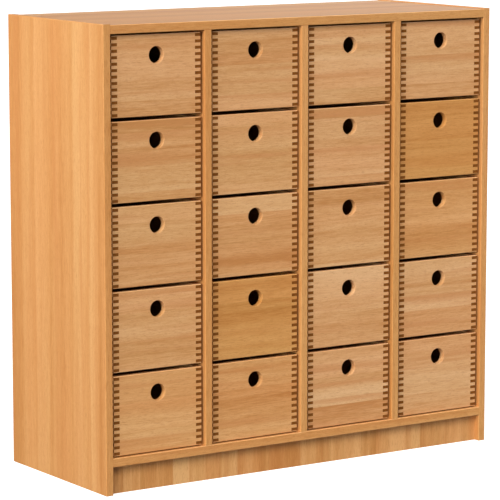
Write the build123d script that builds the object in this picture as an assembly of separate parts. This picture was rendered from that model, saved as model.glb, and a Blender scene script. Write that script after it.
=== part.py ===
from build123d import *
import os

# Free-standing drawer cabinet: four columns of five finger-jointed beech drawers.
# Frame: X to the right, Y from front to back, Z up, origin at the middle of the footprint on the floor. Millimetres.

# ---- driving dimensions: carcass ----
columns = 4
rows = 5
board = 19.0              # thickness of the upright boards and the plinth boards
level_board = 21.0        # thickness of the top and bottom panels
cell_width = 257.0        # clear width between two uprights
depth = 450.0
plinth_height = 67.0      # floor to the underside of the bottom panel
side_height = 1104.0
side_proud = 2.0          # side panels end this far above the top panel
plinth_setback = 16.0
band = 2.0                # edge band on every exposed edge
band_round = 1.2
back_thickness = 8.0
rebate = 9.0              # lip of the carcass that holds the back panel

# ---- driving dimensions: drawers ----
drawer_height = 190.0
row_gap = 9.0
bottom_gap = 2.5          # bottom panel to the lowest drawer
side_clearance = 6.5
front_recess = 8.0        # drawer fronts sit behind the carcass front
drawer_length = 420.0
stock = 16.0              # solid beech of fronts, sides and backs
arris = 1.2               # rounding of all outer edges
finger_count = 13
finger_pitch = 14.85
finger_height = 7.2
hole_radius = 20.0
hole_drop = 48.5          # drawer top edge down to the hole's centre
hole_round = 1.0
sheet = 4.0               # plywood bottom
sheet_height = 10.0       # drawer underside to the plywood
sheet_groove = 5.0
groove_clearance = 0.2

# ---- driving dimensions: runners and fastenings ----
runner_height = 12.0
runner_length = 390.0
runner_setback = 31.0     # drawer front face to the runner's front end
runner_bite = 6.0         # how far a runner reaches into the drawer side
groove_height = 14.0
groove_depth = 7.0
groove_stop = 30.0        # drawer front face to the closed end of its groove
hang_gap = 0.3            # runner top to groove top
runner_screw_offsets = (30.0, 360.0)
dowel_radius = 4.0
dowel_length = 35.0
dowel_bite = 11.0         # part of a dowel that sits in the board's face
dowel_stations = (-185.0, -20.0, 180.0)
cam_stations = (-120.0, 105.0)
cam_radius = 7.5
cam_depth = 14.5
cam_reach = 34.0          # joint face to the cam's centre
bolt_radius = 2.5
bolt_head_radius = 3.5
plinth_dowel_levels = (20.0, 47.0)
pilot = 0.15              # radial room around every dowel, bolt and screw

# ---- derived dimensions ----
width = (columns + 1) * board + columns * cell_width
front = -depth / 2
rear = depth / 2
inner_left = -width / 2 + board
inner_right = width / 2 - board
bottom_top = plinth_height + level_board
top_upper = side_height - side_proud
top_under = top_upper - level_board
back_front = rear - back_thickness
back_top = top_under + rebate + 0.5
row_pitch = drawer_height + row_gap
drawer_width = cell_width - 2 * side_clearance
drawer_front = front + front_recess
half = drawer_width / 2
runner_front = drawer_front + runner_setback
finger_levels = [drawer_height / 2 + (k - (finger_count - 1) / 2) * finger_pitch for k in range(finger_count)]
upright_edges = [-width / 2 + k * (board + cell_width) for k in range(columns + 1)]
column_centres = [edge + board + cell_width / 2 for edge in upright_edges[:-1]]
row_floors = [bottom_top + bottom_gap + (rows - 1 - k) * row_pitch for k in range(rows)]
runner_levels = [floor + (drawer_height + groove_height) / 2 - hang_gap - runner_height / 2 for floor in row_floors]


def block(x0, x1, y0, y1, z0, z1):
    """Cuboid between two corners."""
    return Pos((x0 + x1) / 2, (y0 + y1) / 2, (z0 + z1) / 2) * Box(x1 - x0, y1 - y0, z1 - z0)


def rod(start, end, radius):
    """Cylinder between two points that differ along one axis."""
    a = Vector(*start)
    b = Vector(*end)
    plane = Plane(origin=(a + b) * 0.5, z_dir=(b - a).normalized())
    return plane * Cylinder(radius, (b - a).length)


def group(solids):
    """Separate solids that share one node."""
    return Compound(children=[piece.solid() for piece in solids])


def save(name, shape):
    export_step(shape, os.path.join("parts", name + ".step"))


# ---- one drawer, with its front face at Y 0, its underside at Z 0 and its middle at X 0 ----

def drawer_envelope():
    """Outer shape of the glued-up drawer with every arris rounded."""
    body = block(-half, half, 0, drawer_length, 0, drawer_height)
    return fillet(body.edges(), arris)


def fingers(x0, x1, y0, y1):
    """The row of fingers that a side board pushes through a front or a back."""
    return [block(x0, x1, y0, y1, z - finger_height / 2, z + finger_height / 2) for z in finger_levels]


def sheet_slot():
    """Room for the plywood bottom in all four boards."""
    x = half - stock + sheet_groove + groove_clearance
    y = stock - sheet_groove - groove_clearance
    z = sheet_height - groove_clearance
    return block(-x, x, y, drawer_length - y, z, z + sheet + 2 * groove_clearance)


def runner_grooves():
    """Stopped grooves, open at the drawer's rear."""
    z0 = (drawer_height - groove_height) / 2
    z1 = z0 + groove_height
    left = block(-half - 1, -half + groove_depth, groove_stop, drawer_length + 1, z0, z1)
    right = block(half - groove_depth, half + 1, groove_stop, drawer_length + 1, z0, z1)
    return [left, right]


def side_board(x0, x1):
    board_body = block(x0, x1, stock, drawer_length - stock, 0, drawer_height)
    board_body += fingers(x0, x1, 0, stock)
    board_body += fingers(x0, x1, drawer_length - stock, drawer_length)
    board_body &= drawer_envelope()
    return board_body - runner_grooves() - sheet_slot()


def end_board(y0, y1):
    """Front or back board, slotted for the fingers of both sides."""
    board_body = block(-half, half, y0, y1, 0, drawer_height)
    board_body -= fingers(-half, -half + stock, y0, y1)
    board_body -= fingers(half - stock, half, y0, y1)
    board_body &= drawer_envelope()
    return board_body - sheet_slot()


def drawer_front_board():
    """Front board with its finger hole, rounded at both rims."""
    level = drawer_height - hole_drop
    board_body = end_board(0, stock) - rod((0, -1, level), (0, stock + 1, level), hole_radius)
    rims = board_body.edges().filter_by(GeomType.CIRCLE)
    rims = rims.filter_by(lambda edge: abs(edge.radius - hole_radius) < 0.01)
    return fillet(rims, hole_round)


def drawer_back_board():
    return end_board(drawer_length - stock, drawer_length) - runner_grooves()


def drawer_sheet():
    x = half - stock + sheet_groove
    y = stock - sheet_groove
    return block(-x, x, y, drawer_length - y, sheet_height, sheet_height + sheet)


def drawer_box():
    left = side_board(-half, -half + stock)
    right = side_board(half - stock, half)
    return [left, right, drawer_back_board(), drawer_sheet()]


# ---- fastenings ----

def wood_screw(tip, head, radius, head_radius):
    """Countersunk wood screw, between its tip and the top of its head."""
    a = Vector(*tip)
    b = Vector(*head)
    length = (b - a).length
    plane = Plane(origin=a, z_dir=(b - a).normalized())
    sink = head_radius - radius
    point = Pos(0, 0, 2) * Cone(0.3, radius, 4)
    shank = Pos(0, 0, (4 + length - sink) / 2) * Cylinder(radius, length - sink - 4)
    cone = Pos(0, 0, length - sink / 2) * Cone(radius, head_radius, sink)
    return plane * (point + shank + cone)


def cross_recess(head, head_radius):
    """Cross-shaped driver recess in a head that faces the rear."""
    x, y, z = head
    bar = head_radius * 0.55
    return [block(x - bar, x + bar, y - 1.2, y + 1, z - 0.4, z + 0.4),
            block(x - 0.4, x + 0.4, y - 1.2, y + 1, z - bar, z + bar)]


def back_screws():
    return [wood_screw(*line) - cross_recess(line[1], line[3]) for line in back_screw_lines()]


def screw_pocket(tip, head, radius, head_radius):
    """Hole for a countersunk screw, a little wider than the screw."""
    a = Vector(*tip)
    b = Vector(*head)
    length = (b - a).length
    plane = Plane(origin=a, z_dir=(b - a).normalized())
    sink = head_radius - radius
    hole = Pos(0, 0, length / 2) * Cylinder(radius + pilot, length + 1)
    cone = Pos(0, 0, length - sink / 2) * Cone(radius + pilot, head_radius + pilot, sink)
    mouth = Pos(0, 0, length + 1) * Cylinder(head_radius + pilot, 2)
    return plane * (hole + cone + mouth)


def side_joint_lines():
    """Dowels and cam bolts between a side panel and the top or bottom panel: face X, inward sign, level."""
    faces = [(inner_left, 1), (inner_right, -1)]
    levels = [plinth_height + level_board / 2, top_under + level_board / 2]
    return [(x, inward, z) for x, inward in faces for z in levels]


def dowel_lines():
    """Both ends of every dowel in the carcass."""
    lines = []
    for x, inward, z in side_joint_lines():
        for y in dowel_stations:
            lines.append(((x - inward * dowel_bite, y, z), (x + inward * (dowel_length - dowel_bite), y, z)))
    for edge in upright_edges[1:-1]:
        x = edge + board / 2
        for y in dowel_stations:
            lines.append(((x, y, bottom_top - dowel_bite), (x, y, bottom_top + dowel_length - dowel_bite)))
            lines.append(((x, y, top_under + dowel_bite), (x, y, top_under + dowel_bite - dowel_length)))
    for y in (front + plinth_setback + board / 2, back_front - board / 2):
        for z in plinth_dowel_levels:
            for x, inward in ((inner_left, 1), (inner_right, -1)):
                lines.append(((x - inward * dowel_bite, y, z), (x + inward * (dowel_length - dowel_bite), y, z)))
    return lines


def dowel_holes():
    """Room for every dowel, one millimetre deeper than the dowel at both ends."""
    holes = []
    for start, end in dowel_lines():
        a = Vector(*start)
        b = Vector(*end)
        reach = (b - a).normalized()
        holes.append(rod(tuple(a - reach), tuple(b + reach), dowel_radius + pilot))
    return holes


def wood_dowels():
    return [rod(start, end, dowel_radius) for start, end in dowel_lines()]


def cam_bolts():
    """Bolts that stand out of the side panels, with a ball end that the cam grips."""
    bolts = []
    for x, inward, z in side_joint_lines():
        for y in cam_stations:
            neck = (x + inward * (cam_reach - 4), y, z)
            shank = rod((x - inward * dowel_bite, y, z), neck, bolt_radius)
            collar = rod((x, y, z), (x + inward * 2, y, z), bolt_head_radius)
            ball = rod(neck, (x + inward * (cam_reach + 2), y, z), bolt_head_radius)
            bolts.append(shank + collar + ball)
    return bolts


def cam_housings():
    """Drum-shaped cams in the underside of the top and bottom panels."""
    drums = []
    for x, inward, z in side_joint_lines():
        for y in cam_stations:
            middle = x + inward * cam_reach
            under = z - level_board / 2 + 0.5
            drum = rod((middle, y, under), (middle, y, under + cam_depth - 0.5), cam_radius)
            drum -= rod((middle - inward * 10, y, z), (middle + inward * 4, y, z), bolt_head_radius + 0.3)
            drum -= block(middle - 4, middle + 4, y - 0.7, y + 0.7, under - 1, under + 2.5)
            drum -= block(middle - 0.7, middle + 0.7, y - 4, y + 4, under - 1, under + 2.5)
            drums.append(drum)
    return drums


def cam_pockets():
    """Bores for the cams and their bolts."""
    pockets = []
    for x, inward, z in side_joint_lines():
        for y in cam_stations:
            middle = x + inward * cam_reach
            under = z - level_board / 2
            pockets.append(rod((middle, y, under - 1), (middle, y, under + cam_depth + 0.5), cam_radius + pilot))
            start = (x - inward * (dowel_bite + 1), y, z)
            pockets.append(rod(start, (x, y, z), bolt_radius + pilot))
            pockets.append(rod((x, y, z), (middle, y, z), bolt_head_radius + pilot))
    return pockets


def runner_places():
    """Face X, direction into the cell and level of every runner."""
    places = []
    for centre in column_centres:
        for level in runner_levels:
            places.append((centre - cell_width / 2, 1, level))
            places.append((centre + cell_width / 2, -1, level))
    return places


def drawer_runners():
    strips = []
    for x, inward, level in runner_places():
        reach = x + inward * (side_clearance + runner_bite)
        y1 = runner_front + runner_length
        z0 = level - runner_height / 2
        strip = block(min(x, reach), max(x, reach), runner_front, y1, z0, z0 + runner_height)
        strips.append(strip - [screw_pocket(*line) for line in runner_screw_lines(x, inward, level)])
    return strips


def runner_screw_lines(x, inward, level):
    """Tip, head and radii of the screws that hold one runner."""
    head = x + inward * (side_clearance + runner_bite - 0.8)
    tip = x - inward * 8.0
    return [((tip, runner_front + y, level), (head, runner_front + y, level), 1.75, 3.5)
            for y in runner_screw_offsets]


def all_runner_screw_lines():
    return [line for place in runner_places() for line in runner_screw_lines(*place)]


def back_screw_lines():
    """Tip, head and radii of the screws that hold the back panel, along its edges and the dividers."""
    spots = []
    levels = [plinth_height + 45 + k * (back_top - plinth_height - 90) / 5 for k in range(6)]
    for x in (inner_left - rebate / 2, inner_right + rebate / 2):
        spots += [(x, z) for z in levels]
    for edge in upright_edges[1:-1]:
        spots += [(edge + board / 2, z) for z in levels]
    spans = [centre + side * cell_width / 4 for centre in column_centres for side in (-1, 1)]
    for z in (plinth_height + level_board / 2, top_under + rebate / 2):
        spots += [(x, z) for x in spans]
    return [((x, back_front - 16.0, z), (x, rear - 0.2, z), 1.75, 3.5) for x, z in spots]


# ---- carcass ----

def upright(edge, y1, z0, z1):
    return block(edge, edge + board, front + band, y1, z0, z1)


def back_recess():
    """Rebate in the rear edges of the side panels and the top panel."""
    x0 = inner_left - rebate - 0.5
    x1 = inner_right + rebate + 0.5
    return block(x0, x1, back_front, rear + 1, plinth_height - 0.5, back_top + 0.5)


def carcass_boards():
    """Every carcass board before drilling, by node name."""
    boards = {
        "side_panel_left": upright(upright_edges[0], rear, 0, side_height - band) - back_recess(),
        "side_panel_right": upright(upright_edges[-1], rear, 0, side_height - band) - back_recess(),
        "top_panel": block(inner_left, inner_right, front + band, rear, top_under, top_upper) - back_recess(),
        "bottom_panel": block(inner_left, inner_right, front + band, back_front, plinth_height, bottom_top),
    }
    for number, edge in enumerate(upright_edges[1:-1], start=1):
        boards[f"divider_{number}"] = upright(edge, back_front, bottom_top, top_under)
    x0 = inner_left - rebate
    x1 = inner_right + rebate
    boards["back_panel"] = block(x0, x1, back_front, rear, plinth_height, back_top)
    y = front + plinth_setback
    boards["plinth_front"] = block(inner_left, inner_right, y, y + board, 0, plinth_height)
    boards["plinth_rear"] = block(inner_left, inner_right, back_front - board, back_front, 0, plinth_height)
    return boards


def drill(board_body, tools):
    """Cut only the tools that reach the board."""
    box = board_body.bounding_box()
    near = [tool for tool in tools if box.overlaps(tool.bounding_box())]
    return board_body - near if near else board_body


def drill_tools():
    tools = dowel_holes() + cam_pockets()
    tools += [screw_pocket(*line) for line in all_runner_screw_lines()]
    tools += [screw_pocket(*line) for line in back_screw_lines()]
    return tools


def edge_bands():
    """Bands on the front edges of every carcass board and on the top ends of the side panels."""
    y1 = front + band
    strips = [block(edge, edge + board, front, y1, bottom_top, top_under) for edge in upright_edges[1:-1]]
    for edge in (upright_edges[0], upright_edges[-1]):
        strips.append(block(edge, edge + board, front, y1, 0, side_height))
    for z0 in (plinth_height, top_under):
        strips.append(block(inner_left, inner_right, front, y1, z0, z0 + level_board))
    rounded = [fillet(round_edges(strip), band_round) for strip in strips]
    for edge in (upright_edges[0], upright_edges[-1]):
        cap = block(edge, edge + board, y1, rear, side_height - band, side_height)
        rounded.append(fillet(cap.edges().filter_by(Axis.Y).group_by(Axis.Z)[-1], band_round))
    return rounded


def round_edges(strip):
    """The two long front edges of a strip."""
    size = strip.bounding_box().size
    along = Axis.Z if size.Z > size.X else Axis.X
    return strip.edges().filter_by(along).group_by(Axis.Y)[0]


def build_carcass():
    tools = drill_tools()
    for name, board_body in carcass_boards().items():
        save(name, drill(board_body, tools))
    save("edge_bands", group(edge_bands()))
    save("drawer_runners", group(drawer_runners()))
    save("runner_screws", group([wood_screw(*line) for line in all_runner_screw_lines()]))
    save("back_screws", group(back_screws()))
    save("wood_dowels", group(wood_dowels()))
    save("cam_bolts", group(cam_bolts()))
    save("cam_housings", group(cam_housings()))


def build_drawers():
    front_board = drawer_front_board()
    box_boards = drawer_box()
    for row, floor in enumerate(row_floors, start=1):
        for column, centre in enumerate(column_centres, start=1):
            place = Pos(centre, drawer_front, floor)
            save(f"drawer_front_r{row}c{column}", place * front_board)
            save(f"drawer_box_r{row}c{column}", group([place * piece for piece in box_boards]))


os.makedirs("parts", exist_ok=True)
build_carcass()
build_drawers()
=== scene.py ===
import math

import bpy
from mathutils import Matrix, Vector


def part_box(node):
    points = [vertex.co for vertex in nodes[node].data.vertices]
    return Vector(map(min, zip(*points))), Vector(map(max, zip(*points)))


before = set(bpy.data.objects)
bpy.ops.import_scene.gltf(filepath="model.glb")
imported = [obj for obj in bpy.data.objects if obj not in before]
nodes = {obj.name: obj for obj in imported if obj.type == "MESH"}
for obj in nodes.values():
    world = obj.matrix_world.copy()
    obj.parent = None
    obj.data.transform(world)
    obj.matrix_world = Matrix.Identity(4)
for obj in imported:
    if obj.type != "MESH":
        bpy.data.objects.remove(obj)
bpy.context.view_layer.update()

# All lengths are metres. X runs across the cabinet, -Y out of its front, Z up.
AXES = {"X": 0, "Y": 1, "Z": 2}
COLUMNS = 4
ROWS = 5
CELL_WIDTH = 0.276
FINGER_COUNT = 13
FINGER_PITCH = 0.01485
FINGER_HEIGHT = 0.0072
BAND_DEPTH = 0.002

# Telling the faces of a board apart.
TOLERANCE = 1e-4
END_REACH = 2e-3
ARRIS_REACH = 1.5e-3
SLANT = 0.1
STEEP = 0.6
BAND_ARRIS_RISE = (0.15, 0.97)

# Camera: azimuth 0 looks along +Y; a negative azimuth stands to the left of the drawers.
CAMERA_AZIMUTH = -33.57
CAMERA_ELEVATION = 8.46
CAMERA_DISTANCE = 6.92
CAMERA_LENS = 200.2
CAMERA_SENSOR = 36.0
CAMERA_AIM = (-0.0095, 0.0, 0.5105)
CAMERA_REACH = 400.0

# Suns by name: direction in which the light stands, strength, angular size in degrees, seen in reflections.
SUNS = {
    "key_left": ((-0.85, -0.35, 0.20), 3.00, 34.0, False),
    "key_front": ((-0.35, -0.65, 0.74), 1.52, 26.0, True),
    "key_high": ((-0.20, -0.50, 1.00), 1.20, 24.0, True),
    "fill_back": ((0.70, 0.50, 0.40), 0.50, 50.0, True),
    "fill_rear": ((0.30, 0.90, 0.08), 1.40, 50.0, False),
}
SOFTBOX_PLACE = (-2.16, -0.10, 1.45)
SOFTBOX_AIM = (1.0, 0.0, 0.0)
SOFTBOX_SIZE = 0.9
SOFTBOX_POWER = 11.0

# Grey of the surroundings by height: 0 is straight down, 0.5 the horizon and 1 straight up.
SKY_STOPS = ((0.30, (0.16, 0.16, 0.16)), (0.53, (0.38, 0.38, 0.38)), (0.72, (0.07, 0.07, 0.07)))

FLOOR_REACH = 90.0
FLOOR_HEIGHT = -2e-4
FLOOR_COLOUR = (0.50, 0.50, 0.50, 1.0)
FLOOR_ROUGHNESS = 0.9
FLOOR_GLOW_COLOUR = (1.0, 1.0, 1.0, 1.0)
FLOOR_GLOW = 0.82

# Linear albedo of each kind of wood.
DECOR = (0.610, 0.292, 0.100)
BAND = (0.615, 0.287, 0.092)
BAND_UPRIGHT = (0.635, 0.302, 0.099)
# Paler wood on the upper front arris of the level edge bands: a painted highlight, not a kind of wood.
BAND_ARRIS_HIGHLIGHT = (0.900, 0.520, 0.230)
PLINTH = (0.640, 0.307, 0.106)
PLY = (0.640, 0.420, 0.230)
RUNNER = (0.560, 0.320, 0.160)
DOWEL = (0.600, 0.400, 0.220)
END_GRAIN = (0.205, 0.068, 0.012)
DRAWER_TONES = {
    "p": ("pale", (0.655, 0.348, 0.153)),
    "m": ("middle", (0.637, 0.330, 0.136)),
    "w": ("warm", (0.640, 0.318, 0.119)),
    "o": ("ochre", (0.588, 0.272, 0.079)),
}
TONES_BY_ROW = ("pppp", "mmpo", "mmmw", "mopp", "wwpp")

# Factors on a wood's albedo.
PLAIN = (1.0, 1.0, 1.0)
RED_HEART = (0.87, 0.72, 0.60)
FLECK = (0.66, 0.52, 0.38)
# Paler factors for the top arris of the drawer fronts: a painted highlight.
ARRIS_HIGHLIGHT = (1.32, 1.48, 1.75)
WOOD_STOPS = (
    (0.10, (0.80, 0.67, 0.50)),
    (0.36, (0.94, 0.89, 0.82)),
    (0.53, PLAIN),
    (0.90, (1.12, 1.21, 1.38)),
)
END_STOPS = ((0.22, (0.62, 0.58, 0.52)), (0.55, PLAIN), (0.85, (1.45, 1.5, 1.6)))
PLY_STOPS = ((0.20, (0.82, 0.76, 0.66)), (0.50, PLAIN), (0.80, (1.08, 1.1, 1.14)))
TINT_STOPS = ((0.32, (1.0, 0.95, 0.90)), (0.68, (0.99, 1.04, 1.03)))
ZINC_STOPS = ((0.30, (0.42, 0.41, 0.37)), (0.55, (0.56, 0.56, 0.54)), (0.75, (0.66, 0.65, 0.60)))

# Layers of the wood's grain: features per metre along it and across it, octaves, roughness of the octaves.
GRAIN = {
    "broad": (0.40, 14.0, 3.0, 0.55),
    "bands": (0.9, 48.0, 2.0, 0.5),
    "hue": (0.6, 9.0, 2.0, 0.5),
    "figure": (0.8, 10.0, 1.0, 0.4),
    "streak": (1.2, 40.0, 2.0, 0.6),
    "fibre": (26.0, 400.0, 3.0, 0.6),
    "dashes": (70.0, 420.0, 1.0, 0.5),
    "flecks": (190.0, 1050.0, 1.0, 0.5),
}
# Where each sparse layer begins and where it is full.
STREAK_RANGE = (0.55, 0.70)
DASH_RANGE = (0.54, 0.74)
FLECK_RANGE = (0.60, 0.74)
# How far each layer moves the tone, or how much of its colour it brings.
BROAD_SHARE = 1.35
BAND_SHARE = 0.60
RING_DENSITY = 80.0
RING_SHARE = 0.035
FIBRE_SHARE = 0.85
PLANK_SHARE = 0.42
STREAK_SHARE = 0.55
DASH_SHARE = 0.8
FLECK_SHARE = 0.42
# Random steps that set planks and columns of drawers apart.
PLANK_JUMP = (9.0, 9.0, 9.0)
COLUMN_STEP = 17.0

# Share of the board's depth from its front edge, and how pale the decor is there. The last two stops make each
# upright darker towards its rear edge.
DECOR_STRIPES = (
    (0.00, 0.34), (0.05, 0.32), (0.09, 0.50), (0.13, 0.56), (0.16, 0.38), (0.20, 0.48), (0.25, 0.66),
    (0.31, 0.60), (0.335, 0.32), (0.36, 0.50), (0.48, 0.48), (0.54, 0.32), (0.57, 0.28), (0.60, 0.62),
    (0.71, 0.72), (0.735, 0.42), (0.78, 0.54), (0.84, 0.52), (0.88, 0.32), (0.94, 0.18), (1.00, 0.08),
)
DECOR_WANDER = 0.012


# ---- shader building ----

def fill_ramp(color_ramp, stops):
    elements = color_ramp.elements
    while len(elements) < len(stops):
        elements.new(0.5)
    for element, (place, colour) in zip(elements, stops):
        element.position = place
        element.color = (*colour, 1.0)


def scaled(colour, factors):
    return tuple(channel * factor for channel, factor in zip(colour, factors))


def shades(albedo, stops):
    """Ramp stops whose colours are factors on an albedo."""
    return [(place, scaled(albedo, factors)) for place, factors in stops]


class Graph:
    """A material under construction, with short calls for the nodes that the woods and metals share."""

    def __init__(self, name):
        self.material = bpy.data.materials.new(name)
        self.material.use_nodes = True
        self.tree = self.material.node_tree
        self.shader = self.tree.nodes["Principled BSDF"]

    def feed(self, socket, value):
        if isinstance(value, bpy.types.NodeSocket):
            self.tree.links.new(value, socket)
        else:
            socket.default_value = value

    def surface(self, **values):
        """Set or link sockets of the shader, with underscores for the spaces in their names."""
        for key, value in values.items():
            self.feed(self.shader.inputs[key.replace("_", " ")], value)

    def node(self, kind, **inputs):
        node = self.tree.nodes.new(kind)
        for key, value in inputs.items():
            self.feed(node.inputs[key.replace("_", " ")], value)
        return node

    def operation(self, kind, operation, values):
        node = self.tree.nodes.new(kind)
        node.operation = operation
        for index, value in enumerate(values):
            self.feed(node.inputs[index], value)
        return node.outputs[0]

    def math(self, operation, *values):
        return self.operation("ShaderNodeMath", operation, values)

    def vector_math(self, operation, *values):
        return self.operation("ShaderNodeVectorMath", operation, values)

    def swing(self, value, share):
        """A layer's distance from its middle, times its share."""
        return self.math("MULTIPLY", self.math("SUBTRACT", value, 0.5), share)

    def position(self):
        return self.tree.nodes.new("ShaderNodeTexCoord").outputs["Object"]

    def split(self, place):
        return self.node("ShaderNodeSeparateXYZ", Vector=place).outputs

    def layer(self, place, along, slow, fast, detail, roughness):
        """Noise that runs slowly along the grain and fast across it, in features per metre."""
        scale = [fast, fast, fast]
        scale[AXES[along]] = slow
        spot = self.node("ShaderNodeMapping", Vector=place, Scale=scale).outputs[0]
        noise = self.node("ShaderNodeTexNoise", Vector=spot, Scale=1.0, Detail=detail, Roughness=roughness)
        return noise.outputs["Fac"]

    def remap(self, value, low, high, new_low=0.0, new_high=1.0):
        node = self.tree.nodes.new("ShaderNodeMapRange")
        for index, item in enumerate((value, low, high, new_low, new_high)):
            self.feed(node.inputs[index], item)
        return node.outputs[0]

    def ramp(self, factor, stops):
        node = self.tree.nodes.new("ShaderNodeValToRGB")
        self.feed(node.inputs[0], factor)
        fill_ramp(node.color_ramp, stops)
        return node.outputs[0]

    def mix(self, factor, a, b, blend="MIX"):
        node = self.tree.nodes.new("ShaderNodeMix")
        node.data_type = "RGBA"
        node.blend_type = blend
        self.feed(node.inputs[0], factor)
        self.feed(node.inputs[6], a)
        self.feed(node.inputs[7], b)
        return node.outputs[2]

    def bump(self, height, strength, distance):
        node = self.node("ShaderNodeBump", Height=height, Strength=strength, Distance=distance)
        self.surface(Normal=node.outputs[0])


# ---- woods and metal ----

def plank_hash(graph, place, across, plank, cells):
    """Random tone and random vector per plank; cells adds a random step per column of drawers."""
    parts = graph.split(place)
    index = graph.math("FLOOR", graph.math("DIVIDE", parts[AXES[across]], plank))
    if cells:
        column = graph.math("FLOOR", graph.math("DIVIDE", parts[0], cells))
        index = graph.math("ADD", index, graph.math("MULTIPLY", column, COLUMN_STEP))
    node = graph.tree.nodes.new("ShaderNodeTexWhiteNoise")
    node.noise_dimensions = "1D"
    graph.feed(node.inputs["W"], index)
    return node.outputs["Value"], node.outputs["Color"]


def decor_stripes(graph, place, across):
    """Broad soft stripes that the printed decor repeats on every upright board, front edge to rear edge; the
    ramp also makes each board darker towards its rear edge.
    """
    wander = graph.layer(place, "Z", 1.3, 3.0, 1.0, 0.4)
    spot = graph.math("ADD", graph.split(place)[AXES[across]], graph.swing(wander, DECOR_WANDER))
    spot = graph.remap(spot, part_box("side_panel_left")[0].y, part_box("side_panel_left")[1].y)
    return graph.ramp(spot, [(share, (tone, tone, tone)) for share, tone in DECOR_STRIPES])


def grain_tone(graph, layers, tone, contrast, plank_contrast, fineness, figure):
    """Place on the wood's colour ramp, with 0.5 as its plain tone."""
    rings = graph.math("SINE", graph.math("MULTIPLY", layers["figure"], RING_DENSITY))
    factor = graph.swing(layers["broad"], BROAD_SHARE * contrast)
    others = (
        graph.swing(layers["bands"], BAND_SHARE * contrast),
        graph.math("MULTIPLY", rings, RING_SHARE * figure * contrast),
        graph.swing(layers["fibre"], FIBRE_SHARE * fineness),
        graph.swing(tone, PLANK_SHARE * plank_contrast),
        0.5,
    )
    for other in others:
        factor = graph.math("ADD", factor, other)
    return factor


def wood(name, albedo, along, across=None, plank=0.0, cells=0.0, contrast=1.0, plank_contrast=1.0,
         fineness=1.0, figure=1.0, gloss=0.42, striped=False):
    """Lacquered or decor beech: tone per plank, flat-sawn figure, fibres and ray flecks along one axis."""
    graph = Graph(name)
    place = graph.position()
    tone = decor_stripes(graph, place, across) if striped else 0.5
    if plank:
        tone, jump = plank_hash(graph, place, across, plank, cells)
        place = graph.vector_math("MULTIPLY_ADD", jump, PLANK_JUMP, place)
    layers = {kind: graph.layer(place, along, *values) for kind, values in GRAIN.items()}

    factor = grain_tone(graph, layers, tone, contrast, plank_contrast, fineness, figure)
    colour = graph.ramp(factor, shades(albedo, WOOD_STOPS))
    colour = graph.mix(1.0, colour, graph.ramp(layers["hue"], TINT_STOPS), "MULTIPLY")
    streak = graph.remap(layers["streak"], *STREAK_RANGE)
    red = (*scaled(albedo, RED_HEART), 1.0)
    colour = graph.mix(graph.math("MULTIPLY", streak, STREAK_SHARE * figure), colour, red)
    flecks = graph.remap(layers["flecks"], *FLECK_RANGE)
    dashes = graph.math("MULTIPLY", graph.remap(layers["dashes"], *DASH_RANGE), DASH_SHARE)
    dark = graph.math("MULTIPLY", graph.math("MAXIMUM", flecks, dashes), FLECK_SHARE * fineness)
    colour = graph.mix(dark, colour, (*scaled(albedo, FLECK), 1.0))

    uneven = graph.math("ADD", layers["fibre"], graph.math("MULTIPLY", layers["broad"], 0.5))
    roughness = graph.remap(uneven, 0.35, 1.15, gloss - 0.08, gloss + 0.12)
    graph.surface(Base_Color=colour, Roughness=roughness, Specular_IOR_Level=0.40)
    graph.bump(graph.math("SUBTRACT", layers["fibre"], graph.math("MULTIPLY", flecks, 0.25)), 0.18, 0.0004)
    return graph.material


def end_grain(name, albedo):
    """Dark cut ends of the drawer boards, with curved year rings and fine pores."""
    graph = Graph(name)
    place = graph.position()
    bend = graph.layer(place, "Y", 9.0, 22.0, 1.0, 0.4)
    pores = graph.layer(place, "Y", 1500.0, 1500.0, 2.0, 0.6)
    patch = graph.layer(place, "Y", 60.0, 60.0, 2.0, 0.5)
    across = graph.math("MULTIPLY", graph.split(place)[0], 2100.0)
    rings = graph.math("SINE", graph.math("ADD", across, graph.math("MULTIPLY", bend, 60.0)))
    factor = graph.math("ADD", graph.math("MULTIPLY", rings, 0.10), graph.math("MULTIPLY", pores, 0.55))
    factor = graph.math("ADD", factor, graph.math("MULTIPLY", patch, 0.45))
    roughness = graph.remap(pores, 0.3, 0.7, 0.50, 0.68)
    colour = graph.ramp(factor, shades(albedo, END_STOPS))
    graph.surface(Base_Color=colour, Roughness=roughness, Specular_IOR_Level=0.10)
    graph.bump(pores, 0.25, 0.0003)
    return graph.material


def zinc(name):
    """Zinc-plated steel with a faint cloudy passivation."""
    graph = Graph(name)
    place = graph.position()
    cloud = graph.layer(place, "Z", 160.0, 160.0, 3.0, 0.6)
    grain = graph.layer(place, "Z", 2600.0, 2600.0, 1.0, 0.5)
    roughness = graph.remap(cloud, 0.3, 0.7, 0.28, 0.45)
    graph.surface(Base_Color=graph.ramp(cloud, ZINC_STOPS), Roughness=roughness, Metallic=1.0)
    graph.bump(grain, 0.10, 0.0001)
    return graph.material


def plywood(name, albedo):
    """Thin drawer bottom: calm rotary-cut face with a slow figure."""
    graph = Graph(name)
    place = graph.position()
    figure = graph.layer(place, "X", 2.2, 7.0, 2.0, 0.5)
    fibre = graph.layer(place, "X", 14.0, 420.0, 4.0, 0.6)
    rings = graph.math("SINE", graph.math("MULTIPLY", figure, 60.0))
    factor = graph.math("ADD", graph.math("MULTIPLY", rings, 0.08), graph.math("MULTIPLY", fibre, 0.9))
    colour = graph.ramp(factor, shades(albedo, PLY_STOPS))
    graph.surface(Base_Color=colour, Roughness=graph.remap(fibre, 0.3, 0.7, 0.5, 0.62))
    graph.bump(fibre, 0.15, 0.0003)
    return graph.material


# ---- carcass ----

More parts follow.
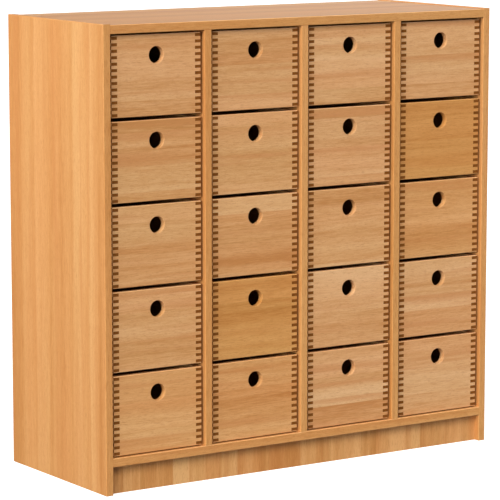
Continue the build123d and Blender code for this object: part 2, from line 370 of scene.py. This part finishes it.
def dress(node, materials, kind_of=None):
    """Give a node its materials, by kind; kind_of(centre, normal) names the kind of each face."""
    mesh = nodes[node].data
    mesh.materials.clear()
    for material in materials.values():
        mesh.materials.append(material)
    order = list(materials)
    for polygon in mesh.polygons:
        kind = kind_of(polygon.center, polygon.normal) if kind_of else order[0]
        polygon.material_index = order.index(kind)


def dress_carcass():
    upright = wood("decor_upright", DECOR, "Z", "Y", contrast=0.65, plank_contrast=2.3, figure=0.9,
                   striped=True)
    level = wood("decor_level", DECOR, "X", "Y", plank=0.075, plank_contrast=0.8)
    sheet = wood("decor_back", DECOR, "Z", "X", plank=0.11, plank_contrast=0.7, gloss=0.48)
    plinth = wood("decor_plinth", PLINTH, "Z", "X", plank=0.046, contrast=1.2, plank_contrast=1.6)
    plain = {
        upright: ("side_panel_left", "side_panel_right", "divider_1", "divider_2", "divider_3"),
        level: ("top_panel", "bottom_panel"),
        plinth: ("plinth_front", "plinth_rear"),
        sheet: ("back_panel",),
        wood("runner_beech", RUNNER, "Y", gloss=0.5): ("drawer_runners",),
        wood("dowel_beech", DOWEL, "Z", gloss=0.6): ("wood_dowels",),
        zinc("zinc_steel"): ("runner_screws", "back_screws", "cam_bolts", "cam_housings"),
    }
    for material, names in plain.items():
        for node in names:
            dress(node, {"plain": material})


def dress_bands():
    """Upright bands have upright grain; level ones run across; the upper front arris of the level bands gets a
    paler wood as a painted highlight.
    """
    low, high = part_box("edge_bands")
    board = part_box("side_panel_left")[1].x - low.x
    levels = [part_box(node) for node in ("top_panel", "bottom_panel")]

    def kind_of(centre, normal):
        between = low.x + board + TOLERANCE < centre.x < high.x - board - TOLERANCE
        at_level = any(box[0].z - TOLERANCE < centre.z < box[1].z + TOLERANCE for box in levels)
        if between and at_level:
            # The upper front arris gets the paler wood: a painted highlight.
            rounded = BAND_ARRIS_RISE[0] < normal.z < BAND_ARRIS_RISE[1] and normal.y < -SLANT
            return "arris" if rounded else "level"
        return "cap" if centre.y > low.y + BAND_DEPTH + TOLERANCE else "upright"

    materials = {
        "upright": wood("band_upright", BAND_UPRIGHT, "Z", contrast=0.6, fineness=1.3),
        "level": wood("band_level", BAND, "X", fineness=1.3),
        "cap": wood("band_cap", BAND, "Y"),
        # Painted highlight on the upper front arris of the level bands.
        "arris": wood("band_arris_highlight", BAND_ARRIS_HIGHLIGHT, "X", fineness=0.6),
    }
    dress("edge_bands", materials, kind_of)


# ---- drawers ----

def drawer_woods(tone, albedo):
    """The woods of one drawer tone, with a paler one on the top arris of the front as a painted highlight."""
    return {
        "face": wood(f"beech_face_{tone}", albedo, "X", "Z", plank=0.071, cells=CELL_WIDTH, contrast=1.1,
                     plank_contrast=0.55, fineness=1.15, figure=1.3, gloss=0.44),
        # Paler wood for the top arris: a painted highlight.
        "arris": wood(f"beech_arris_highlight_{tone}", scaled(albedo, ARRIS_HIGHLIGHT), "X", contrast=0.5, fineness=0.6, gloss=0.38),
        "side": wood(f"beech_side_{tone}", albedo, "Y", "Z", plank=0.094, cells=CELL_WIDTH,
                     plank_contrast=0.7, gloss=0.46),
    }


def is_finger_level(height, drawer_height):
    """True where the side boards' fingers pass through the end boards."""
    middle = height - drawer_height / 2
    index = round(middle / FINGER_PITCH)
    inside = abs(middle - index * FINGER_PITCH) < FINGER_HEIGHT / 2 + TOLERANCE
    return inside and abs(index) <= FINGER_COUNT // 2


def is_cut_end(place, direction, low, high):
    """True for a face at either end of a board that looks along the board."""
    return abs(direction) > STEEP and (place < low + END_REACH or place > high - END_REACH)


def front_face_kind(centre, normal, low, high):
    """Which surface of a drawer front a face belongs to."""
    # The top front arris gets the paler wood: a painted highlight.
    if centre.z > high.z - ARRIS_REACH and normal.y < -SLANT and normal.z > SLANT:
        return "arris"
    return "end" if is_cut_end(centre.x, normal.x, low.x, high.x) else "face"


def box_face_kind(centre, normal, low, high, stock):
    """Which board of the drawer box a face belongs to, and whether it is cut across the grain."""
    inside_x = low.x + stock + TOLERANCE < centre.x < high.x - stock - TOLERANCE
    if inside_x and centre.y < high.y - stock - TOLERANCE:
        return "sheet"
    at_back = centre.y > high.y - stock + TOLERANCE
    if not inside_x and (not at_back or is_finger_level(centre.z - low.z, high.z - low.z)):
        return "end" if is_cut_end(centre.y, normal.y, low.y, high.y) else "side"
    return "end" if is_cut_end(centre.x, normal.x, low.x, high.x) else "back"


def dress_drawer(row, column, woods, ends, sheet):
    front = f"drawer_front_r{row}c{column}"
    box = f"drawer_box_r{row}c{column}"
    front_low, front_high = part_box(front)
    box_low, box_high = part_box(box)
    stock = front_high.y - front_low.y

    def front_kind(centre, normal):
        return front_face_kind(centre, normal, front_low, front_high)

    def box_kind(centre, normal):
        return box_face_kind(centre, normal, box_low, box_high, stock)

    dress(front, {"face": woods["face"], "end": ends, "arris": woods["arris"]}, front_kind)
    dress(box, {"side": woods["side"], "end": ends, "back": woods["face"], "sheet": sheet}, box_kind)


def dress_drawers():
    ends = end_grain("beech_end_grain", END_GRAIN)
    sheet = plywood("plywood", PLY)
    woods = {letter: drawer_woods(*tone) for letter, tone in DRAWER_TONES.items()}
    for row in range(1, ROWS + 1):
        for column in range(1, COLUMNS + 1):
            letter = TONES_BY_ROW[row - 1][column - 1]
            dress_drawer(row, column, woods[letter], ends, sheet)


# ---- studio ----

def make_floor():
    """White floor that catches a faint shadow; it throws no colour on the wood and shows in no reflection."""
    mesh = bpy.data.meshes.new("studio_floor")
    signs = ((-1, -1), (1, -1), (1, 1), (-1, 1))
    corners = [(x * FLOOR_REACH, y * FLOOR_REACH, FLOOR_HEIGHT) for x, y in signs]
    mesh.from_pydata(corners, [], [(0, 1, 2, 3)])
    floor = bpy.data.objects.new("studio_floor", mesh)
    bpy.context.scene.collection.objects.link(floor)
    graph = Graph("studio_floor")
    graph.surface(Base_Color=FLOOR_COLOUR, Roughness=FLOOR_ROUGHNESS, Specular_IOR_Level=0.0,
                  Emission_Color=FLOOR_GLOW_COLOUR, Emission_Strength=FLOOR_GLOW)
    mesh.materials.append(graph.material)
    floor.visible_diffuse = False
    floor.visible_glossy = False


def add_lamp(name, light, towards):
    """Place a light that stands in the given direction from what it lights."""
    lamp = bpy.data.objects.new(name, light)
    lamp.rotation_euler = Vector(towards).to_track_quat("Z", "Y").to_euler()
    bpy.context.scene.collection.objects.link(lamp)
    return lamp


def light_studio():
    """Large soft suns, and a near softbox that falls off down the left side."""
    for name, (towards, strength, spread, in_reflections) in SUNS.items():
        light = bpy.data.lights.new(name, "SUN")
        light.energy = strength
        light.angle = math.radians(spread)
        add_lamp(name, light, towards).visible_glossy = in_reflections
    panel = bpy.data.lights.new("softbox_left", "AREA")
    panel.size = SOFTBOX_SIZE
    panel.energy = SOFTBOX_POWER
    add_lamp("softbox_left", panel, -Vector(SOFTBOX_AIM)).location = SOFTBOX_PLACE


def make_sky():
    """Grey surroundings, brightest at the horizon and dark overhead."""
    world = bpy.data.worlds.new("studio")
    bpy.context.scene.world = world
    world.use_nodes = True
    tree = world.node_tree
    direction = tree.nodes.new("ShaderNodeTexCoord").outputs["Generated"]
    split = tree.nodes.new("ShaderNodeSeparateXYZ")
    height = tree.nodes.new("ShaderNodeMapRange")
    height.inputs["From Min"].default_value = -1.0
    ramp = tree.nodes.new("ShaderNodeValToRGB")
    fill_ramp(ramp.color_ramp, SKY_STOPS)
    background = tree.nodes["Background"]
    background.inputs["Strength"].default_value = 1.0
    tree.links.new(direction, split.inputs[0])
    tree.links.new(split.outputs[2], height.inputs["Value"])
    tree.links.new(height.outputs[0], ramp.inputs[0])
    tree.links.new(ramp.outputs[0], background.inputs["Color"])
    bpy.context.scene.view_settings.view_transform = "Standard"


def add_camera():
    azimuth = math.radians(CAMERA_AZIMUTH)
    elevation = math.radians(CAMERA_ELEVATION)
    back = Vector((math.sin(azimuth) * math.cos(elevation), -math.cos(azimuth) * math.cos(elevation),
                   math.sin(elevation)))
    data = bpy.data.cameras.new("camera")
    data.lens = CAMERA_LENS
    data.sensor_width = CAMERA_SENSOR
    data.clip_end = CAMERA_REACH
    camera = bpy.data.objects.new("camera", data)
    camera.location = Vector(CAMERA_AIM) + back * CAMERA_DISTANCE
    camera.rotation_euler = back.to_track_quat("Z", "Y").to_euler()
    bpy.context.scene.collection.objects.link(camera)
    bpy.context.scene.camera = camera


dress_carcass()
dress_bands()
dress_drawers()
make_floor()
light_studio()
make_sky()
add_camera()
